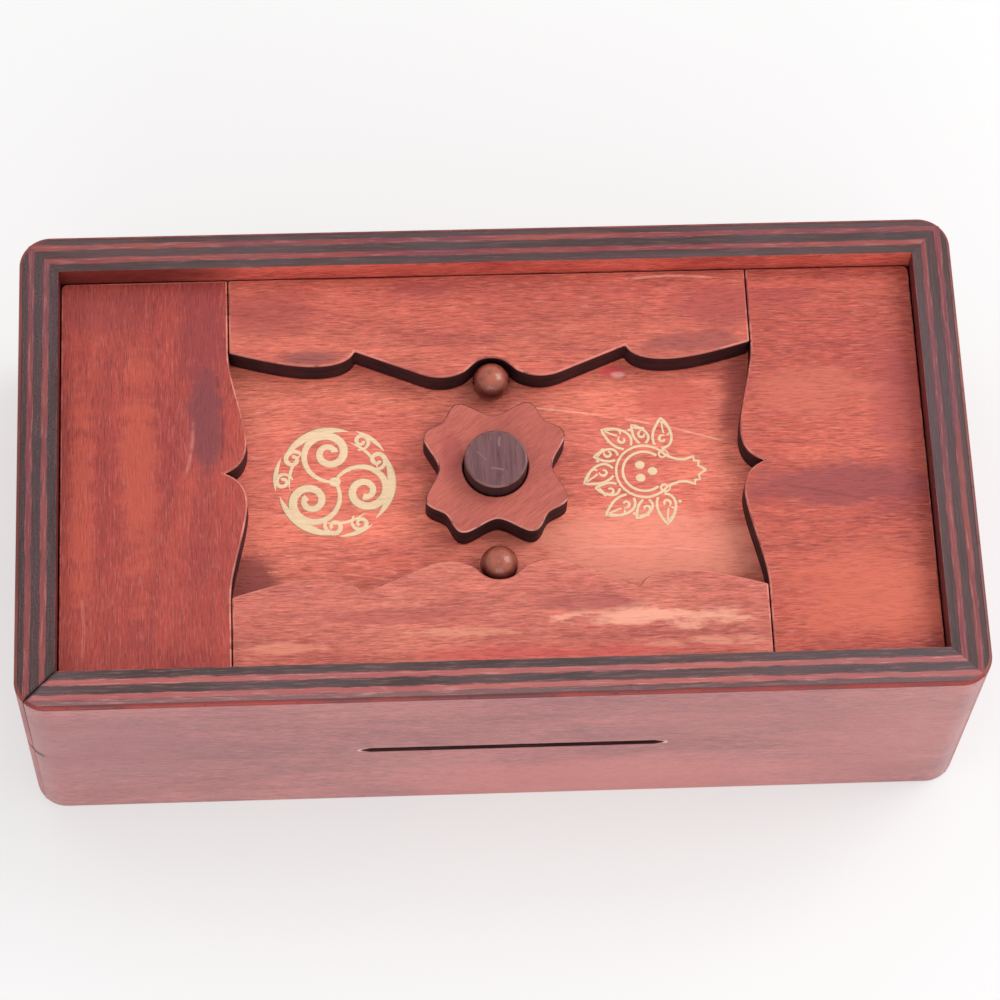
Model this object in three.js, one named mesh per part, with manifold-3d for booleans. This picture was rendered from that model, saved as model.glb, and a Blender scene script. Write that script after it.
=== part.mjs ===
// Wooden puzzle box: mitred plywood case with a sunk lid field, a turning rosette, two ball pegs,
// a note slot in the front wall, and a hidden drawer behind each end wall.
// Millimetres. X runs left to right, Y front to rear, Z up; origin at the centre of the footprint.
import * as THREE from 'three';
import { mergeVertices } from 'three/addons/utils/BufferGeometryUtils.js';
import Module from 'manifold-3d';

const wasm = await Module();
wasm.setup();

// Overall sizes of the case
const width = 240;
const depth = 130;
const height = 70;
const wall = 10;
const cornerRadius = 8;

// Boards
const deckThick = 6;
const panelThick = 8;
const rimRise = 6.5;
const baseThick = 4;
const tongue = 4;
const partitionThick = 3;

// Fits
const glue = 0.1;
const cutGap = 0.3;
const play = 0.5;
const mitreGap = 0.3;
const sawKerf = 0.8;

// Lid field: where the four panels meet and how their inner edges are shaped
const panelSplit = 67;
const shoulder = 33.9;
const lobeReach = 4.3;
const lobeHeight = 9;
const cuspX = 34.8;
const cuspCut = 0.4;
const peakX = 14.5;
const peakDrop = 5.4;
const notchHalf = 6.6;
const lobeLean = 5.9;
const scallopDrop = 4.5;
const panelCorner = 1.5;

// Rosette, knob and ball pegs
const rosetteRadius = 20.2;
const knobRadius = 8;
const knobRise = 4.8;
const knobBevel = 0.9;
const ballRadius = 4.8;
const ballSteps = 14;
const pegRadius = 2;
const pegRise = 3.5;
const pegBevel = 0.6;

// Note slot in the front wall
const slotLength = 77;
const slotHeight = 2.6;
const slotShift = 2.5;
const slotRelief = 4;
const slotSpare = 2;

// Lock under the deck
const lockSpace = 12.5;
const camThick = 5;
const armWidth = 12;
const camRim = 2.1;
const armSpare = 6;
const hookSize = 7;
const hookFit = 1;
const catchWidth = 8;
const lathThick = 3;

// Drawers
const drawerBoard = 4;
const drawerFloor = 3;
const drawerStop = 1;
const slotToPartition = 12;

// Levels and places that follow from the sizes above
const innerX = width / 2 - wall;
const innerY = depth / 2 - wall;
const panelTop = height - rimRise;
const deckTop = panelTop - panelThick;
const deckBottom = deckTop - deckThick;
const seamZ = deckBottom - lockSpace;
const drawerTop = seamZ - sawKerf / 2;
const boardTop = drawerTop - play;
const slotZ = seamZ - slotHeight / 2;
const knobTop = panelTop + knobRise;
const ballY = rosetteRadius + ballRadius + play;
const ballLift = Math.sqrt(ballRadius ** 2 - (pegRadius + cutGap) ** 2) + cutGap;
const camTop = deckBottom - play;
const camBottom = camTop - camThick;
const hubRadius = ballY + pegRadius + play + camRim;
const armReach = innerY - armSpare;
const hookGap = armWidth / 2 + hookFit;
const lathBottom = seamZ + hookFit;
const slotLeft = slotShift - slotLength / 2;
const slotRight = slotShift + slotLength / 2;
const partitionX = slotLeft - slotToPartition;

// Colours, roughness
const stains = {
  redWall: [0x8f3a3c, 0.5],
  paleWall: [0xa45a5a, 0.45],
  deck: [0xb8523f, 0.6],
  panel: [0xa6402f, 0.6],
  rosette: [0x7a3a36, 0.7],
  knob: [0x5a3c44, 0.6],
  ball: [0x84432f, 0.3],
  bareWood: [0xc9a77c, 0.75],
};

const box = new THREE.Group();

// Adds one named piece to a group
function addPiece(group, name, geometry, stain) {
  const [color, roughness] = stains[stain];
  const material = new THREE.MeshStandardMaterial({ color, roughness, metalness: 0 });
  const mesh = new THREE.Mesh(geometry, material);
  mesh.name = name;
  group.add(mesh);
  return mesh;
}

// Turns a closed geometry into a solid that can be cut or joined
function solidOf(geometry) {
  const bare = geometry.index ? geometry.toNonIndexed() : geometry.clone();
  bare.deleteAttribute('normal');
  bare.deleteAttribute('uv');
  const merged = mergeVertices(bare, 1e-4);
  const mesh = new wasm.Mesh({
    numProp: 3,
    vertProperties: new Float32Array(merged.attributes.position.array),
    triVerts: new Uint32Array(merged.index.array),
  });
  return new wasm.Manifold(mesh);
}

// Turns a solid back into a geometry
function geometryOf(solid) {
  const mesh = solid.getMesh();
  const geometry = new THREE.BufferGeometry();
  geometry.setAttribute('position', new THREE.BufferAttribute(mesh.vertProperties, 3));
  geometry.setIndex(new THREE.BufferAttribute(mesh.triVerts, 1));
  geometry.computeVertexNormals();
  return geometry;
}

// A block between two corners
function block(x0, x1, y0, y1, z0, z1) {
  const geometry = new THREE.BoxGeometry(x1 - x0, y1 - y0, z1 - z0);
  geometry.translate((x0 + x1) / 2, (y0 + y1) / 2, (z0 + z1) / 2);
  return geometry;
}

// A flat board cut to a plan outline, from z0 to z1
function board(plan, z0, z1, curveSegments = 10) {
  const geometry = new THREE.ExtrudeGeometry(plan, { depth: z1 - z0, bevelEnabled: false, curveSegments });
  geometry.translate(0, 0, z0);
  return geometry;
}

// A bar cut to an outline seen from the front, from y0 to y1
function bar(outline, y0, y1) {
  const geometry = new THREE.ExtrudeGeometry(outline, { depth: y1 - y0, bevelEnabled: false });
  geometry.rotateX(Math.PI / 2);
  geometry.translate(0, y1, 0);
  return geometry;
}

// A round hole in a plan
function roundHole(plan, x, y, radius) {
  const hole = new THREE.Path();
  hole.absarc(x, y, radius, 0, 2 * Math.PI, true);
  plan.holes.push(hole);
}

// A turned piece: outline points [radius, height] spun about Z
function turned(outline, segments = 32) {
  const points = outline.map(([radius, z]) => new THREE.Vector2(radius, z));
  const geometry = new THREE.LatheGeometry(points, segments);
  geometry.rotateX(Math.PI / 2);
  return geometry;
}

// Plan of one mitred wall: outer face on y = 0, inner face on y = wall, rounded outer corners
function wallPlan(length) {
  const setBack = mitreGap * Math.SQRT1_2;
  const arcX = length / 2 - cornerRadius;
  const arcEnd = -Math.PI / 4 - Math.asin(setBack / (cornerRadius * Math.SQRT2));
  const innerEnd = length / 2 - wall - setBack;
  const plan = new THREE.Shape();
  plan.moveTo(-arcX, 0);
  plan.lineTo(arcX, 0);
  plan.absarc(arcX, cornerRadius, cornerRadius, -Math.PI / 2, arcEnd, false);
  plan.lineTo(innerEnd, wall);
  plan.lineTo(-innerEnd, wall);
  plan.absarc(-arcX, cornerRadius, cornerRadius, Math.PI - arcEnd, 1.5 * Math.PI, false);
  return plan;
}

// Groove along a wall's inner face that takes the deck's edge
function deckGroove(length) {
  const floor = wall - tongue;
  return solidOf(block(-length, length, floor, 2 * wall, deckBottom - glue, deckTop + glue));
}

// Rebate along the foot of a long wall that takes the base panel's edge
function baseRebate(length) {
  return solidOf(block(-length, length, wall - tongue, 2 * wall, -wall, baseThick + glue));
}

// Note slot through the front wall, seen from the front, with pointed ends
function noteSlot() {
  const rise = slotHeight / 2;
  const outline = new THREE.Shape();
  outline.moveTo(slotLeft, slotZ);
  outline.lineTo(slotLeft + slotHeight, slotZ - rise);
  outline.lineTo(slotRight - slotHeight, slotZ - rise);
  outline.lineTo(slotRight, slotZ);
  outline.lineTo(slotRight - slotHeight, slotZ + rise);
  outline.lineTo(slotLeft + slotHeight, slotZ + rise);
  return solidOf(bar(outline, -wall, 2 * wall));
}

// A group whose own -Y side faces out of one side of the case
function wallPlace(turn, x, y) {
  const place = new THREE.Group();
  place.position.set(x, y, 0);
  place.rotation.z = turn;
  box.add(place);
  return place;
}

// Long walls: full height, grooved for the deck and rebated for the base
function addLongWalls() {
  const blank = solidOf(board(wallPlan(width), 0, height));
  const rear = blank.subtract(deckGroove(width)).subtract(baseRebate(width));
  const front = rear.subtract(noteSlot());
  addPiece(wallPlace(0, 0, -depth / 2), 'front_wall', geometryOf(front), 'paleWall');
  addPiece(wallPlace(Math.PI, 0, depth / 2), 'rear_wall', geometryOf(rear), 'redWall');
}

// End walls: the fixed upper half holds the deck, the lower half is the front of a drawer
function addEndWalls() {
  const upper = solidOf(board(wallPlan(depth), seamZ + sawKerf / 2, height));
  const grooved = geometryOf(upper.subtract(deckGroove(depth)));
  const lower = board(wallPlan(depth), cutGap, drawerTop);
  for (const [side, turn] of [['right', 1], ['left', -1]]) {
    const place = wallPlace(turn * Math.PI / 2, turn * width / 2, 0);
    addPiece(place, `${side}_upper_wall`, grooved.clone(), 'redWall');
    addPiece(place, `${side}_drawer_front`, lower.clone(), 'redWall');
  }
}

// Base panel, let into the rebates of the two long walls
function addBase() {
  const reachY = innerY + tongue - glue;
  const reachX = innerX - cutGap;
  addPiece(box, 'base_panel', block(-reachX, reachX, -reachY, reachY, 0, baseThick), 'bareWood');
}

// Partition between the two drawers
function addPartition() {
  const reachY = innerY - glue;
  const low = baseThick + glue;
  const left = partitionX - partitionThick;
  addPiece(box, 'drawer_partition', block(left, partitionX, -reachY, reachY, low, drawerTop), 'bareWood');
}

// Deck: the board the lid field stands on, drilled for the knob and the two pegs
function addDeck() {
  const reachX = innerX + tongue - glue;
  const reachY = innerY + tongue - glue;
  const plan = new THREE.Shape();
  plan.moveTo(-reachX, -reachY);
  plan.lineTo(reachX, -reachY);
  plan.lineTo(reachX, reachY);
  plan.lineTo(-reachX, reachY);
  roundHole(plan, 0, 0, knobRadius + cutGap);
  roundHole(plan, 0, ballY, pegRadius + cutGap);
  roundHole(plan, 0, -ballY, pegRadius + cutGap);
  addPiece(box, 'deck', board(plan, deckBottom, deckTop, 24), 'deck');
}

// Plan of the right-hand end panel: straight shoulders, then two lobes that meet in a cusp.
// The ease values are how far the curves' handles lie from the points they leave.
function endPanelPlan() {
  const near = panelSplit + cutGap / 2;
  const tip = panelSplit - lobeReach;
  const far = innerX - cutGap;
  const side = innerY - cutGap;
  const cusp = near + 1.2;
  const cuspEase = { x: tip + 1.5, y: 1.6 };
  const lobeEase = { x: tip + 0.6, y: lobeHeight + 8 };
  const shoulderEase = shoulder - 7;
  const cornerX = far - panelCorner;
  const cornerY = side - panelCorner;
  const plan = new THREE.Shape();
  plan.moveTo(far, -cornerY);
  plan.lineTo(far, cornerY);
  plan.absarc(cornerX, cornerY, panelCorner, 0, Math.PI / 2, false);
  plan.lineTo(near, side);
  plan.lineTo(near, shoulder);
  plan.bezierCurveTo(near, shoulderEase, lobeEase.x, lobeEase.y, tip, lobeHeight);
  plan.bezierCurveTo(tip, lobeHeight / 2, cuspEase.x, cuspEase.y, cusp, 0);
  plan.bezierCurveTo(cuspEase.x, -cuspEase.y, tip, -lobeHeight / 2, tip, -lobeHeight);
  plan.bezierCurveTo(lobeEase.x, -lobeEase.y, near, -shoulderEase, near, -shoulder);
  plan.lineTo(near, -side);
  plan.lineTo(cornerX, -side);
  plan.absarc(cornerX, -cornerY, panelCorner, -Math.PI / 2, 0, false);
  return plan;
}

// Right half of the rear panel's inner edge, from the notch for the ball out to the shoulder:
// each row holds a curve's two handles and its end, and a row of one point is a straight cut
function longPanelEdge() {
  const notch = ballY + ballRadius + play;
  const peak = notch - peakDrop;
  const lobeX = (cuspX + panelSplit) / 2 - lobeLean;
  const lobeY = shoulder - scallopDrop;
  const end = panelSplit - cutGap / 2;
  return [
    [[notchHalf - 3, notch], [notchHalf - 2, peak + 3.5], [notchHalf, peak + 1.8]],
    [[notchHalf + 3, peak], [peakX - 0.8, peak - 0.7], [peakX + 3.6, peak + 1.2]],
    [[cuspX, shoulder - cuspCut]],
    [[cuspX + 1.2, lobeY + 1.2], [lobeX - 5, lobeY], [lobeX, lobeY]],
    [[lobeX + 6, lobeY], [lobeX + 13, lobeY + 1.8], [end, shoulder]],
  ];
}

// Adds one straight or curved cut to a plan
function addCut(plan, points) {
  if (points.length === 1) {
    plan.lineTo(...points[0]);
  } else {
    plan.bezierCurveTo(...points.flat());
  }
}

// Plan of the rear panel: a lobe, a cusp, a slope and a peak each side of the notch for the ball
function longPanelPlan() {
  const end = panelSplit - cutGap / 2;
  const side = innerY - cutGap;
  const edge = longPanelEdge();
  const ends = [[0, ballY + ballRadius + play], ...edge.map((row) => row.at(-1))];
  const plan = new THREE.Shape();
  plan.moveTo(end, side);
  plan.lineTo(-end, side);
  plan.lineTo(-end, shoulder);
  for (let step = edge.length - 1; step >= 0; step -= 1) {
    const handles = edge[step].slice(0, -1).reverse();
    addCut(plan, [...handles, ends[step]].map(([x, y]) => [-x, y]));
  }
  for (const row of edge) {
    addCut(plan, row);
  }
  return plan;
}

// The four panels of the lid field, glued on the deck; each pair is one outline turned half round
function addPanels() {
  const endPanel = board(endPanelPlan(), deckTop + glue, panelTop);
  const longPanel = board(longPanelPlan(), deckTop + glue, panelTop);
  for (const [name, panel, turn] of [
    ['right_panel', endPanel, 0],
    ['left_panel', endPanel, Math.PI],
    ['rear_panel', longPanel, 0],
    ['front_panel', longPanel, Math.PI],
  ]) {
    addPiece(box, name, panel.clone(), 'panel').rotation.z = turn;
  }
}

// Plan of the rosette: four deep flutes on the axes, four shallow ones between, eight round lobes.
// An eighth of it runs from the middle of a deep flute to the middle of a shallow one, as
// degrees and share of the radius.
function rosettePlan() {
  const deepFlute = [[0, 0.71], [9, 0.755], [18, 0.875]];
  const lobe = [[24, 0.97], [29, 1], [35, 0.968]];
  const shallowFlute = [[40, 0.925], [45, 0.905]];
  const eighth = [...deepFlute, ...lobe, ...shallowFlute];
  const quarter = [];
  for (const [angle, share] of eighth) {
    quarter.push([angle, share]);
  }
  for (const [angle, share] of eighth.slice(1, -1).reverse()) {
    quarter.push([90 - angle, share]);
  }
  const points = [];
  for (let turn = 0; turn < 360; turn += 90) {
    for (const [angle, share] of quarter) {
      const direction = THREE.MathUtils.degToRad(angle + turn);
      const reach = rosetteRadius * share;
      points.push(new THREE.Vector3(reach * Math.cos(direction), reach * Math.sin(direction), 0));
    }
  }
  const edge = new THREE.CatmullRomCurve3(points, true).getPoints(points.length * 3);
  const plan = new THREE.Shape(edge.slice(0, -1).map((point) => new THREE.Vector2(point.x, point.y)));
  roundHole(plan, 0, 0, knobRadius + cutGap);
  return plan;
}

// Rosette and knob: the knob is a dowel glued through the rosette and the lock's cam
function addRosette() {
  addPiece(box, 'rosette', board(rosettePlan(), deckTop + cutGap, panelTop, 24), 'rosette');
  const dowel = [
    [0, camBottom],
    [knobRadius, camBottom],
    [knobRadius, knobTop - knobBevel],
    [knobRadius - knobBevel, knobTop],
    [0, knobTop],
  ];
  addPiece(box, 'knob_dowel', turned(dowel, 48), 'knob');
}

// A curved slot through the cam's hub, a quarter turn long, that a peg's tip runs in
function pegTrack(start) {
  const halfWidth = pegRadius + play;
  const end = start + Math.PI / 2;
  const startAt = [ballY * Math.cos(start), ballY * Math.sin(start)];
  const endAt = [ballY * Math.cos(end), ballY * Math.sin(end)];
  const track = new THREE.Path();
  track.absarc(0, 0, ballY + halfWidth, start, end, false);
  track.absarc(...endAt, halfWidth, end, end + Math.PI, false);
  track.absarc(0, 0, ballY - halfWidth, end, start, true);
  track.absarc(...startAt, halfWidth, start + Math.PI, start + 2 * Math.PI, false);
  return track;
}

// Cam: a round hub with two arms that swing in front of the drawers' hooks
function addCam() {
  const half = armWidth / 2;
  const root = Math.asin(half / hubRadius);
  const plan = new THREE.Shape();
  plan.moveTo(armReach, -half);
  plan.lineTo(armReach, half);
  plan.absarc(0, 0, hubRadius, root, Math.PI - root, false);
  plan.lineTo(-armReach, half);
  plan.lineTo(-armReach, -half);
  plan.absarc(0, 0, hubRadius, Math.PI + root, 2 * Math.PI - root, false);
  roundHole(plan, 0, 0, knobRadius + glue);
  plan.holes.push(pegTrack(Math.PI / 2), pegTrack(1.5 * Math.PI));
  addPiece(box, 'lock_cam', board(plan, camBottom, camTop, 20), 'bareWood');
}

// Ball pegs: a turned ball glued on a dowel that drops through the deck into the cam's slot
function addBallPegs() {
  const centre = deckTop + ballLift;
  const bore = pegRadius + glue;
  const lowest = -Math.acos(bore / ballRadius);
  const boreTop = centre + pegRise - pegRadius;
  const ball = [[0, boreTop], [bore, boreTop]];
  for (let step = 0; step <= ballSteps; step += 1) {
    const angle = lowest + (Math.PI / 2 - lowest) * step / ballSteps;
    const radius = step === ballSteps ? 0 : ballRadius * Math.cos(angle);
    ball.push([radius, centre + ballRadius * Math.sin(angle)]);
  }
  const tip = camBottom + play;
  const top = boreTop - glue;
  const peg = [
    [0, tip],
    [pegRadius - pegBevel, tip],
    [pegRadius, tip + pegBevel],
    [pegRadius, top],
    [0, top],
  ];
  for (const [side, turn] of [['rear', 1], ['front', -1]]) {
    addPiece(box, `${side}_ball`, turned(ball, 32), 'ball').position.y = turn * ballY;
    addPiece(box, `${side}_peg`, turned(peg, 20), 'ball').position.y = turn * ballY;
  }
}

// Catch: a foot on the drawer's back board, a lath along the case and a hook that the cam's arm blocks
function catchSolid(backX, footLow) {
  const lathTop = lathBottom + lathThick;
  const hookEnd = -hookGap;
  const hookStart = hookEnd - hookSize;
  const low = -armReach;
  const high = catchWidth - armReach;
  const lathStart = Math.min(backX, hookStart);
  const lathEnd = Math.max(backX + drawerBoard, hookEnd);
  const foot = solidOf(block(backX, backX + drawerBoard, low, high, footLow, lathTop));
  const lath = solidOf(block(lathStart, lathEnd, low, high, lathBottom, lathTop));
  const hook = solidOf(block(hookStart, hookEnd, low, high, lathBottom, deckBottom - hookFit));
  return foot.add(lath).add(hook);
}

// One drawer, drawn as the right-hand one: floor, two sides, back board and hooked catch.
// backX is where its back board ends; the left-hand drawer is the same thing turned half round.
function addDrawer(side, backX, hasSlotRelief) {
  const turn = side === 'right' ? 0 : Math.PI;
  const place = new THREE.Group();
  place.rotation.z = turn;
  box.add(place);
  const reachX = innerX - glue;
  const reachY = innerY - play;
  const inside = reachY - drawerBoard;
  const floorLow = baseThick + cutGap;
  const floorTop = floorLow + drawerFloor;
  const boardLow = floorTop + glue;
  const highSide = block(backX, reachX, inside, reachY, boardLow, boardTop);
  let lowSide = block(backX, reachX, -reachY, -inside, boardLow, boardTop);
  if (hasSlotRelief) {
    const left = slotLeft - slotSpare;
    const right = slotRight + slotSpare;
    const relief = block(left, right, -2 * reachY, 0, boardTop - slotRelief, height);
    lowSide = geometryOf(solidOf(lowSide).subtract(solidOf(relief)));
  }
  const backBoard = block(backX, backX + drawerBoard, -inside + glue, inside - glue, boardLow, boardTop);
  const floor = block(backX, reachX, -reachY, reachY, floorLow, floorTop);
  addPiece(place, `${side}_drawer_floor`, floor, 'bareWood');
  const [low, high] = side === 'right' ? ['front', 'rear'] : ['rear', 'front'];
  addPiece(place, `${side}_drawer_${low}_side`, lowSide, 'bareWood');
  addPiece(place, `${side}_drawer_${high}_side`, highSide, 'bareWood');
  addPiece(place, `${side}_drawer_back`, backBoard, 'bareWood');
  addPiece(place, `${side}_catch`, geometryOf(catchSolid(backX, boardTop + glue)), 'bareWood');
}

addLongWalls();
addEndWalls();
addBase();
addPartition();
addDeck();
addPanels();
addRosette();
addCam();
addBallPegs();
addDrawer('right', partitionX + drawerStop, true);
addDrawer('left', partitionThick - partitionX + drawerStop, false);

export default box;
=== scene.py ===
"""Wooden puzzle box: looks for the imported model. Metres, X right, Y to the rear, Z up."""
import math

import bpy
from mathutils import Matrix, Vector


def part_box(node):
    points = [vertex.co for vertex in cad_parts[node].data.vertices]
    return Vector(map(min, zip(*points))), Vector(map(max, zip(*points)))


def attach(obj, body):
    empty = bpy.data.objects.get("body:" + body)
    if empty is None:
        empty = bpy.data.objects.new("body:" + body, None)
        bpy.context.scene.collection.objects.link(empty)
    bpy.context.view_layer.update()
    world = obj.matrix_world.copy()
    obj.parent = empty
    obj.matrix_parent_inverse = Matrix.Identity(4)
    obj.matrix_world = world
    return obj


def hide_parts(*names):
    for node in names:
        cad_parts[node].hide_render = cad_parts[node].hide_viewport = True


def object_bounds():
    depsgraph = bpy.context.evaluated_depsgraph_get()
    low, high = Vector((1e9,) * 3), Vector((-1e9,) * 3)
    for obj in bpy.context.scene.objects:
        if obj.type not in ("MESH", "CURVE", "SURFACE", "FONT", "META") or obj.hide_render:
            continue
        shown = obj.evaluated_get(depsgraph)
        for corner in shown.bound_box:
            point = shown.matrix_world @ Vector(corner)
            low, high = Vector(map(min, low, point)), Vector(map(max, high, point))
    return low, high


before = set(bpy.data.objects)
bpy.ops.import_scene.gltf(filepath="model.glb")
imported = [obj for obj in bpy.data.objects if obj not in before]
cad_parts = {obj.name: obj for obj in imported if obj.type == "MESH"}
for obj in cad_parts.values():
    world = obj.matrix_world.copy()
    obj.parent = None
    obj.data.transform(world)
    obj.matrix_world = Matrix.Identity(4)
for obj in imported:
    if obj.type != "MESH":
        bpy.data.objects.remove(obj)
cad_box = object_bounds()


# ---------------------------------------------------------------- camera, floor and light
# A long lens looks down on the box from the front, a little to the left and slightly rolled.
# The box stands on a plain pale light table, with a large soft light to its right.
AZIMUTH = math.radians(-6.33)
ELEVATION = math.radians(65.68)
ROLL = math.radians(4.31)
DISTANCE = 0.9795
TARGET = Vector((0.0039, 0.0192, 0.0))
SENSOR_WIDTH = 36
FOCAL_LENGTH = 130.1
FAR_CLIP = 20
TABLE_SIZE = 6
TABLE_GREY = (0.42, 0.42, 0.42, 1)
TABLE_GLOW = 0.47
STUDIO_GLOW = 0.86

back = Vector((
    math.sin(AZIMUTH) * math.cos(ELEVATION),
    -math.cos(AZIMUTH) * math.cos(ELEVATION),
    math.sin(ELEVATION),
))
level = Vector((0, 0, 1)).cross(back).normalized()
upright = back.cross(level)
right = math.cos(ROLL) * level + math.sin(ROLL) * upright
up = math.cos(ROLL) * upright - math.sin(ROLL) * level

camera_data = bpy.data.cameras.new("camera")
camera_data.sensor_width = SENSOR_WIDTH
camera_data.lens = FOCAL_LENGTH
camera_data.clip_end = FAR_CLIP
camera = bpy.data.objects.new("camera", camera_data)
bpy.context.collection.objects.link(camera)
facing = Matrix((right, up, back)).transposed().to_4x4()
camera.matrix_world = Matrix.Translation(TARGET + back * DISTANCE) @ facing
bpy.context.scene.camera = camera
bpy.context.scene.view_settings.view_transform = "Standard"

bpy.ops.object.select_all(action="DESELECT")
bpy.ops.mesh.primitive_plane_add(size=TABLE_SIZE)
floor = bpy.context.object
floor.name = "floor"
floor_finish = bpy.data.materials.new("lit table top")
floor_finish.use_nodes = True
table_shader = floor_finish.node_tree.nodes["Principled BSDF"]
table_shader.inputs["Base Color"].default_value = TABLE_GREY
table_shader.inputs["Roughness"].default_value = 0.6
table_shader.inputs["Specular IOR Level"].default_value = 0.1
table_shader.inputs["Emission Color"].default_value = (1, 0.995, 0.995, 1)
table_shader.inputs["Emission Strength"].default_value = TABLE_GLOW
floor.data.materials.append(floor_finish)

world = bpy.data.worlds.new("studio")
world.use_nodes = True
world.node_tree.nodes["Background"].inputs["Color"].default_value = (1, 0.995, 0.99, 1)
world.node_tree.nodes["Background"].inputs["Strength"].default_value = STUDIO_GLOW
bpy.context.scene.world = world


def soft_light(name, place, aim, size, watts):
    """A large square studio light that faces a point."""
    data = bpy.data.lights.new(name, "AREA")
    data.size = size
    data.energy = watts
    lamp = bpy.data.objects.new(name, data)
    bpy.context.collection.objects.link(lamp)
    lamp.location = place
    lamp.rotation_euler = (Vector(aim) - Vector(place)).to_track_quat("-Z", "Y").to_euler()


soft_light("key from the right", place=(0.95, 0.30, 1.0), aim=(0, 0, 0), size=0.8, watts=9)
soft_light("front fill", place=(-0.1, -1.3, 0.55), aim=(0, 0, 0.03), size=1.0, watts=5)


# ---------------------------------------------------------------- case walls
# Four mitred walls of 10 mm seven-ply birch board, stained dark red and rubbed with a satin varnish.
# The end walls are sawn in two at mid height: the upper halves are glued, the lower are drawer fronts.
WALL = 0.010
ARRIS = 0.0010
VENEER, ARRIS_SLOT, SHEET_EDGE = 0, 1, 2


def new_material(name):
    """A material with its node tree and its Principled shader."""
    material = bpy.data.materials.new(name)
    material.use_nodes = True
    return material, material.node_tree, material.node_tree.nodes["Principled BSDF"]


def value_into(tree, socket, value):
    """Sets a socket to a number, a vector or a colour, or joins it to another node's output."""
    if isinstance(value, bpy.types.NodeSocket):
        tree.links.new(value, socket)
    elif isinstance(value, (tuple, list)) and socket.type == "RGBA" and len(value) == 3:
        socket.default_value = (*value, 1)
    else:
        socket.default_value = value


def maths(tree, operation, first, second=0.0, third=0.0):
    """One Math node."""
    node = tree.nodes.new("ShaderNodeMath")
    node.operation = operation
    for socket, value in zip(node.inputs, (first, second, third)):
        value_into(tree, socket, value)
    return node.outputs[0]


def times(tree, first, second):
    return maths(tree, "MULTIPLY", first, second)


def times_plus(tree, first, second, third):
    return maths(tree, "MULTIPLY_ADD", first, second, third)


def minus(tree, first, second):
    return maths(tree, "SUBTRACT", first, second)


def vector_maths(tree, operation, first, second=(0, 0, 0)):
    """One Vector Math node."""
    node = tree.nodes.new("ShaderNodeVectorMath")
    node.operation = operation
    value_into(tree, node.inputs[0], first)
    value_into(tree, node.inputs[1], second)
    return node.outputs["Value" if operation in ("LENGTH", "DOT_PRODUCT") else "Vector"]


def scaled(tree, vector, factor):
    """A vector or colour times a number."""
    node = tree.nodes.new("ShaderNodeVectorMath")
    node.operation = "SCALE"
    value_into(tree, node.inputs[0], vector)
    value_into(tree, node.inputs["Scale"], factor)
    return node.outputs[0]


def noise(tree, vector, stretch, detail=2.0, rough=0.5, warp=0.0):
    """Noise whose features are about one over the stretch long, in metres, along each axis."""
    node = tree.nodes.new("ShaderNodeTexNoise")
    value_into(tree, node.inputs["Vector"], vector_maths(tree, "MULTIPLY", vector, stretch))
    node.inputs["Scale"].default_value = 1
    node.inputs["Detail"].default_value = detail
    node.inputs["Roughness"].default_value = rough
    node.inputs["Distortion"].default_value = warp
    return node.outputs["Fac"]


def between(tree, value, low, high):
    """A smooth step from 0 at low to 1 at high."""
    node = tree.nodes.new("ShaderNodeMapRange")
    node.interpolation_type = "SMOOTHSTEP"
    value_into(tree, node.inputs["Value"], value)
    value_into(tree, node.inputs["From Min"], low)
    value_into(tree, node.inputs["From Max"], high)
    return node.outputs[0]


def blend_colour(tree, share, first, second):
    """The first colour where the share is 0, and the second where it is 1."""
    node = tree.nodes.new("ShaderNodeMix")
    node.data_type = "RGBA"
    value_into(tree, node.inputs["Factor"], share)
    value_into(tree, node.inputs["A"], first)
    value_into(tree, node.inputs["B"], second)
    return node.outputs["Result"]


def bump(tree, height, distance, strength=1.0):
    """A normal from a height, whose full range stands for a distance in metres."""
    node = tree.nodes.new("ShaderNodeBump")
    node.inputs["Strength"].default_value = strength
    node.inputs["Distance"].default_value = distance
    value_into(tree, node.inputs["Height"], height)
    return node.outputs["Normal"]


def place_on(tree, turn=(0, 0, 0), shift=(0, 0, 0)):
    """The piece's own coordinates, shifted and then turned so that the grain runs along X."""
    coordinates = tree.nodes.new("ShaderNodeTexCoord")
    mapping = tree.nodes.new("ShaderNodeMapping")
    mapping.inputs["Rotation"].default_value = turn
    mapping.inputs["Location"].default_value = shift
    tree.links.new(coordinates.outputs["Object"], mapping.inputs["Vector"])
    return mapping.outputs["Vector"]


def new_group(name, inputs, outputs):
    """A shader node group with named sockets, and its inside input and output nodes."""
    group = bpy.data.node_groups.new(name, "ShaderNodeTree")
    for label, kind, value in inputs:
        socket = group.interface.new_socket(label, in_out="INPUT", socket_type=kind)
        socket.default_value = value
    for label in outputs:
        group.interface.new_socket(label, in_out="OUTPUT", socket_type="NodeSocketFloat")
    return group, group.nodes.new("NodeGroupInput").outputs, group.nodes.new("NodeGroupOutput").inputs


def use_group(tree, group, **values):
    """Places a group in a material and sets its inputs, and returns its outputs."""
    node = tree.nodes.new("ShaderNodeGroup")
    node.node_tree = group
    for label, value in values.items():
        value_into(tree, node.inputs[label.replace("_", " ")], value)
    return node.outputs


# Rotary-cut birch: wavy figure, fine streaks, short dark pores, pale flecks and blotches of stain.
# Each sheet of veneer is read from its own place in the pattern, so that no two boards match.
SHEET_STEP = (0.731, 0.517, 0.293)
WANDER = 0.004
RING_TURNS = 46

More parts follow.
